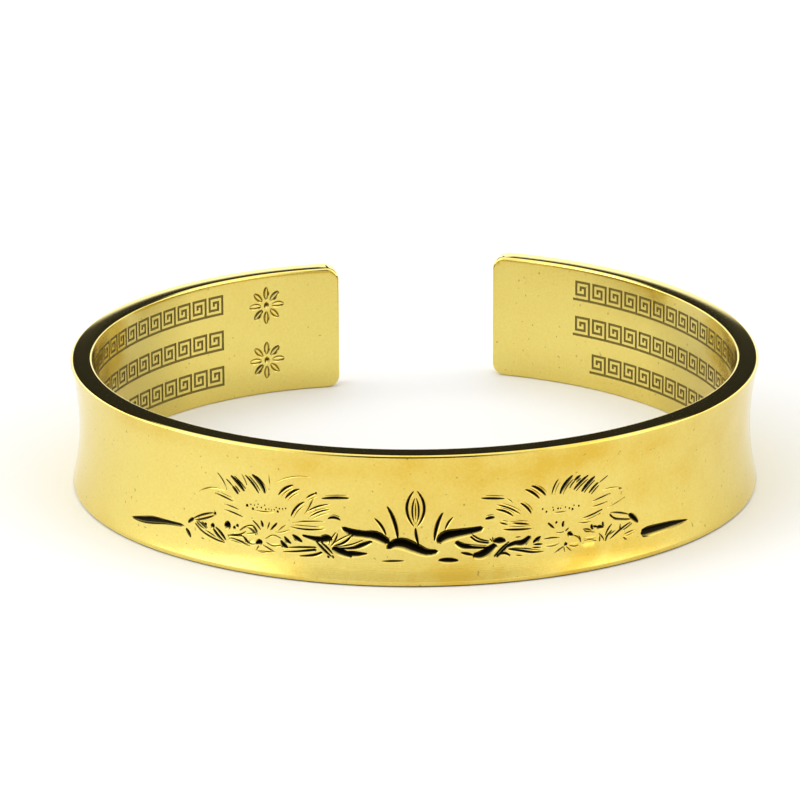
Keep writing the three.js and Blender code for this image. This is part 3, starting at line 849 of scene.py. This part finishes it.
class CUFF_OT_bend(bpy.types.Operator):
    """Hollows the outer face, bends the bar along the plan and puts the cuff in its place"""

    bl_idname = "cuff.bend"
    bl_label = "Bend and Place the Cuff"

    plan_step = 0.1
    sharp_angle = math.radians(24)

    # Patina: bare metal at the top of a cut, then the depth over which it darkens
    bare_depth = 0.03
    fade = 0.07
    edge_margin = 0.3
    end_margin = 1.0
    # Painted contact shade along the lower outer edge: how dark it is, and the share of the outer round it
    # covers; then the depth of the polished rims
    contact_shade = 0.36
    contact_shade_share = 0.6
    rim_depth = 0.02

    # Inner face: the darkest that its marks get, and the painted shade around them on each arm, where the
    # inner face lies in shade inside the ring
    inner_patina = 0.42
    inner_painted_shade = 0.215
    painted_shade_place = 59.0
    painted_shade_reach = 13.0

    def execute(self, context):
        sizes = context.scene.cuff_sizes
        bar = bpy.data.objects[BAR_NAME]
        left, right = arms(sizes)
        self.note_patina_and_painted_shade(bar, sizes)
        self.note_tarnish(bar, -arm_length(left))
        self.chart_uv(bar, arm_length(left) + arm_length(right))
        self.hollow(bar, sizes)
        path = self.plan_curve(left, right)
        only(bar)
        bend = bar.modifiers.new("bend", "CURVE")
        bend.object = path
        bend.deform_axis = "POS_X"
        bpy.ops.object.modifier_apply(modifier=bend.name)
        bpy.data.objects.remove(path)
        front = BAND_LOW.y + sizes.wall / 2
        bar.data.transform(Matrix.Translation((0, front, BAND_LOW.z)) @ Matrix.Scale(MM, 4))
        bpy.ops.object.shade_smooth_by_angle(angle=self.sharp_angle)
        flatten = bar.modifiers.new("flatten", "WEIGHTED_NORMAL")
        flatten.keep_sharp = True
        bpy.ops.object.modifier_apply(modifier=flatten.name)
        bar.data.materials.clear()
        bar.data.materials.append(engraved_brass(context.scene.cuff_look))
        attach(bar, "root")
        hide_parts(BAND_NODE)
        return {"FINISHED"}

    @staticmethod
    def note(bar, name, values):
        """Keeps a value for each point as an attribute for the metal's colour."""
        attribute = bar.data.attributes.new(name, "FLOAT", "POINT")
        attribute.data.foreach_set("value", values.astype(np.float32))

    def note_patina_and_painted_shade(self, bar, sizes):
        """Dark in the cuts, with painted shade on the inner face around the inner marks and painted contact
        shade along the lower outer edge.
        """
        along, inwards, up = coordinates(bar.data).T
        height = bench(sizes.height)
        edge = bench(sizes.outer_round) + self.edge_margin
        end = edge + self.end_margin
        on_face = (up > edge) & (up < height - edge)
        on_face &= (along > end) & (along < along.max() - end)
        depth = np.where(on_face, bench(sizes.wall) / 2 - np.abs(inwards), 0)
        dark = np.clip((depth - self.bare_depth) / self.fade, 0, 1)
        # Painted shade: each arm's inner face is darkened where it lies in shade inside the ring
        off_centre = np.abs(along - arm_length(arms(sizes)[0]))
        inner_shade = self.inner_painted_shade * np.exp(-((off_centre - self.painted_shade_place) / self.painted_shade_reach) ** 2)
        inside = np.maximum(np.minimum(dark, self.inner_patina), inner_shade)
        dark = np.where(inwards > 0, inside, dark)
        # Painted contact shade on the lower outer edge, where it meets the floor
        contact_shade_band = (inwards < 0) & (up < bench(sizes.outer_round) * self.contact_shade_share)
        # One attribute holds the cut patina together with both painted shades
        self.note(bar, "patina_and_painted_shade", np.where(contact_shade_band, self.contact_shade, dark))
        self.note(bar, "rim", ((up < self.rim_depth) | (up > height - self.rim_depth)) * 1.0)

    def note_tarnish(self, bar, start):
        """How amber each point of the outer face is."""
        along, inwards, up = coordinates(bar.data).T
        amount = np.zeros(len(up))
        for patch in TARNISH:
            far = ((along + start - patch.along) / patch.reach) ** 2 + ((up - patch.up) / patch.rise) ** 2
            amount += patch.strength * np.exp(-far)
        self.note(bar, "tarnish", np.where(inwards < 0, amount, 0))

    @staticmethod
    def chart_uv(bar, length):
        """Lays the flat bar out as its UV map: u along the band, v up."""
        mesh = bar.data
        layer = mesh.uv_layers.get("flat") or mesh.uv_layers.new(name="flat")
        corners = np.empty(len(mesh.loops), dtype=int)
        mesh.loops.foreach_get("vertex_index", corners)
        co = coordinates(mesh)[corners]
        layer.data.foreach_set("uv", (co[:, [0, 2]] / length).ravel())

    @staticmethod
    def hollow(bar, sizes):
        """Moves the outer side in along an arc between the two rims."""
        co = coordinates(bar.data)
        height = bench(sizes.height)
        dip = bench(sizes.waist_dip)
        half_chord = height / 2 - bench(sizes.outer_round)
        radius = (half_chord**2 + dip**2) / (2 * dip)
        from_middle = np.minimum(np.abs(co[:, 2] - height / 2), half_chord)
        inwards = np.sqrt(radius**2 - from_middle**2) - (radius - dip)
        outer = co[:, 1] < 0
        co[outer, 1] += inwards[outer]
        set_coordinates(bar.data, co)

    def plan_curve(self, left, right):
        walk = [Vector((-p.x, p.y)) for p in reversed(plan_walk(left, self.plan_step))]
        walk += plan_walk(right, self.plan_step)[1:]
        data = bpy.data.curves.new("plan", "CURVE")
        data.dimensions = "2D"
        data.use_path = True
        spline = data.splines.new("POLY")
        spline.points.add(len(walk) - 1)
        for point, place in zip(spline.points, walk):
            point.co = (*place, 0, 1)
        path = bpy.data.objects.new("plan", data)
        bpy.context.collection.objects.link(path)
        return path


class NodeBench:
    """Adds nodes to a tree and joins them"""

    def __init__(self, tree):
        self.nodes = tree.nodes
        self.links = tree.links

    def add(self, kind, **values):
        node = self.nodes.new(kind)
        for key, value in values.items():
            setattr(node, key, value)
        return node

    def put(self, value, socket):
        if isinstance(value, bpy.types.NodeSocket):
            self.links.new(value, socket)
        else:
            socket.default_value = value

    def maths(self, operation, a, b):
        node = self.add("ShaderNodeMath", operation=operation)
        self.put(a, node.inputs[0])
        self.put(b, node.inputs[1])
        return node.outputs[0]

    def ranged(self, value, low, high, to_low=0.0, to_high=1.0, smooth=False):
        node = self.add("ShaderNodeMapRange", interpolation_type="SMOOTHSTEP" if smooth else "LINEAR")
        for socket, number in zip(node.inputs, (value, low, high, to_low, to_high)):
            self.put(number, socket)
        return node.outputs["Result"]

    def mixed(self, factor, a, b):
        node = self.add("ShaderNodeMix", data_type="RGBA")
        self.put(factor, node.inputs["Factor"])
        self.put(a, node.inputs[6])
        self.put(b, node.inputs[7])
        return node.outputs[2]

    def noise(self, vector, scale, detail, stretch=None):
        if stretch:
            mapping = self.add("ShaderNodeMapping")
            mapping.inputs["Scale"].default_value = stretch
            self.links.new(vector, mapping.inputs["Vector"])
            vector = mapping.outputs["Vector"]
        node = self.add("ShaderNodeTexNoise")
        node.inputs["Scale"].default_value = scale
        node.inputs["Detail"].default_value = detail
        self.links.new(vector, node.inputs["Vector"])
        return node.outputs["Fac"]


def engraved_brass(look):
    """Polished brass with amber tarnish, fine lengthwise lines, specks, dark cuts, and painted shade on the
    inner arms and along the lower outer edge.
    """
    material = bpy.data.materials.new("engraved_brass")
    material.use_nodes = True
    shader = material.node_tree.nodes["Principled BSDF"]
    shader.inputs["Metallic"].default_value = 1.0
    kit = NodeBench(material.node_tree)
    brass, amber, oxide_and_painted_shade = ((*colour, 1) for colour in (look.brass, look.amber, look.oxide_and_painted_shade))
    place = kit.add("ShaderNodeTexCoord").outputs["Object"]
    flat = kit.add("ShaderNodeUVMap", uv_map="flat").outputs["UV"]
    dark = kit.add("ShaderNodeAttribute", attribute_name="patina_and_painted_shade").outputs["Fac"]
    rim = kit.add("ShaderNodeAttribute", attribute_name="rim").outputs["Fac"]
    tarnish = kit.add("ShaderNodeAttribute", attribute_name="tarnish").outputs["Fac"]

    # Cut patina and painted shade both blend the metal towards the dark colour
    patina_and_painted_shade = kit.ranged(dark, 0.14, 0.5)
    cloud = kit.ranged(kit.noise(place, 260, 5), 0.35, 0.7)
    grain = kit.ranged(kit.noise(place, 4200, 2), 0.35, 0.7)
    lines = kit.noise(flat, 60, 4, (1, 40, 1))
    speck = kit.ranged(kit.noise(place, 3100, 0), 0.8, 0.84, 0.0, 0.4)
    stain = kit.maths("MULTIPLY", tarnish, kit.ranged(cloud, 0, 1, 0.55, 1.25))
    stain = kit.maths("ADD", stain, kit.maths("MULTIPLY", cloud, 0.12))
    stain = kit.maths("ADD", stain, kit.maths("MULTIPLY", grain, 0.22))
    metal = kit.mixed(stain, brass, amber)
    metal = kit.mixed(speck, metal, oxide_and_painted_shade)
    kit.put(kit.mixed(patina_and_painted_shade, metal, oxide_and_painted_shade), shader.inputs["Base Color"])

    gloss = kit.ranged(kit.noise(place, 320, 4), 0.3, 0.7, 0.07, 0.13)
    gloss = kit.maths("ADD", gloss, kit.ranged(lines, 0.4, 0.7, 0.0, 0.04))
    gloss = kit.maths("ADD", gloss, kit.maths("MULTIPLY", patina_and_painted_shade, 0.35))
    kit.put(kit.ranged(rim, 0.0, 1.0, gloss, 0.03), shader.inputs["Roughness"])
    bump = kit.add("ShaderNodeBump")
    kit.put(kit.ranged(rim, 0.0, 1.0, 0.1, 0.0), bump.inputs["Strength"])
    bump.inputs["Distance"].default_value = 0.0002
    ripple = kit.maths("ADD", kit.noise(place, 260, 2), kit.maths("MULTIPLY", lines, 0.12))
    kit.put(ripple, bump.inputs["Height"])
    kit.put(bump.outputs["Normal"], shader.inputs["Normal"])
    return material


class CUFF_OT_stage(bpy.types.Operator):
    """Makes the pale floor, the surrounding light and the camera"""

    bl_idname = "cuff.stage"
    bl_label = "Set the Stage"

    camera_place = (-0.0008, -0.4227, 0.1506)
    camera_aim = (-0.0013, -0.0252, 0.0155)
    camera_roll = -0.004
    lens = 219.8
    floor_size = 4.0

    def execute(self, context):
        look = context.scene.cuff_look
        self.floor(look)
        self.surroundings(context.scene, look)
        self.camera(context.scene)
        return {"FINISHED"}

    def floor(self, look):
        bpy.ops.object.select_all(action="DESELECT")
        bpy.ops.mesh.primitive_plane_add(size=self.floor_size)
        floor = bpy.context.object
        floor.name = "studio_floor"
        material = bpy.data.materials.new("pale_floor")
        material.use_nodes = True
        shader = material.node_tree.nodes["Principled BSDF"]
        shader.inputs["Base Color"].default_value = (*look.floor, 1)
        shader.inputs["Roughness"].default_value = 0.6
        shader.inputs["Specular IOR Level"].default_value = 0.1
        floor.data.materials.append(material)

    @staticmethod
    def surroundings(scene, look):
        """White all around, brighter at the sides, with dark gaps behind and in front above the floor."""
        world = bpy.data.worlds.new("surround")
        scene.world = world
        world.use_nodes = True
        kit = NodeBench(world.node_tree)
        backdrop = world.node_tree.nodes["Background"]
        backdrop.inputs["Strength"].default_value = look.sky
        way = kit.add("ShaderNodeTexCoord").outputs["Generated"]
        split = kit.add("ShaderNodeSeparateXYZ")
        kit.put(way, split.inputs["Vector"])
        x, y, z = split.outputs
        level = kit.maths("POWER", kit.maths("SUBTRACT", 1.0, kit.maths("MULTIPLY", z, z)), 0.5)
        aside = kit.maths("DIVIDE", kit.maths("ABSOLUTE", x, 0.0), level)
        behind = kit.ranged(y, 0.1, 0.3, smooth=True)
        behind = kit.maths("MULTIPLY", behind, kit.ranged(z, 0.296, 0.303, smooth=True))
        behind = kit.maths("MULTIPLY", behind, kit.ranged(z, 0.78, 0.68, smooth=True))
        ahead = kit.ranged(y, -0.1, -0.3, smooth=True)
        ahead = kit.maths("MULTIPLY", ahead, kit.ranged(z, 0.9, 0.8, smooth=True))
        dim = kit.maths("MULTIPLY", ahead, kit.ranged(z, -0.01, 0.03, 0.0, 0.4, smooth=True))
        dim = kit.maths("MULTIPLY", dim, kit.ranged(aside, 0.95, 0.6, smooth=True))
        ahead = kit.maths("MULTIPLY", ahead, kit.ranged(z, 0.1, 0.2, smooth=True))
        ahead = kit.maths("MULTIPLY", ahead, kit.ranged(aside, 0.75, 0.3, smooth=True))
        dark = kit.maths("MAXIMUM", behind, kit.maths("MAXIMUM", dim, ahead))
        left = kit.ranged(x, -0.45, -0.8, 1.0, 1.95, smooth=True)
        right = kit.ranged(x, 0.45, 0.8, 1.0, 1.4, smooth=True)
        sides = kit.maths("MULTIPLY", left, right)
        light = kit.add("ShaderNodeCombineXYZ")
        for socket in light.inputs:
            kit.put(sides, socket)
        kit.put(kit.mixed(dark, light.outputs[0], (0.02, 0.02, 0.02, 1)), backdrop.inputs["Color"])
        scene.view_settings.view_transform = "Standard"

    def camera(self, scene):
        data = bpy.data.cameras.new("camera")
        data.lens = self.lens
        camera = bpy.data.objects.new("camera", data)
        scene.collection.objects.link(camera)
        place = Vector(self.camera_place)
        turn = (Vector(self.camera_aim) - place).to_track_quat("-Z", "Y").to_matrix().to_4x4()
        camera.matrix_world = Matrix.Translation(place) @ turn @ Matrix.Rotation(self.camera_roll, 4, "Z")
        scene.camera = camera


class CUFF_PT_panel(bpy.types.Panel):
    """Lists the steps and the sizes"""

    bl_label = "Cuff Bangle"
    bl_space_type = "VIEW_3D"
    bl_region_type = "UI"
    bl_category = "Cuff"

    def draw(self, context):
        for step in STEPS:
            self.layout.operator(step.bl_idname)
        for group in (context.scene.cuff_sizes, context.scene.cuff_engraving, context.scene.cuff_look):
            for key in group.__annotations__:
                self.layout.prop(group, key)


STEPS = (CUFF_OT_shape_bar, CUFF_OT_engrave_front, CUFF_OT_engrave_inside, CUFF_OT_bend, CUFF_OT_stage)
CLASSES = (CuffSizes, CuffEngraving, CuffLook, *STEPS, CUFF_PT_panel)


def register():
    for cls in CLASSES:
        bpy.utils.register_class(cls)
    bpy.types.Scene.cuff_sizes = PointerProperty(type=CuffSizes)
    bpy.types.Scene.cuff_engraving = PointerProperty(type=CuffEngraving)
    bpy.types.Scene.cuff_look = PointerProperty(type=CuffLook)


def unregister():
    del bpy.types.Scene.cuff_look
    del bpy.types.Scene.cuff_engraving
    del bpy.types.Scene.cuff_sizes
    for cls in reversed(CLASSES):
        bpy.utils.unregister_class(cls)


def main():
    register()
    bpy.ops.cuff.shape_bar()
    bpy.ops.cuff.engrave_front()
    bpy.ops.cuff.engrave_inside()
    bpy.ops.cuff.bend()
    bpy.ops.cuff.stage()


if __name__ == "__main__":
    main()
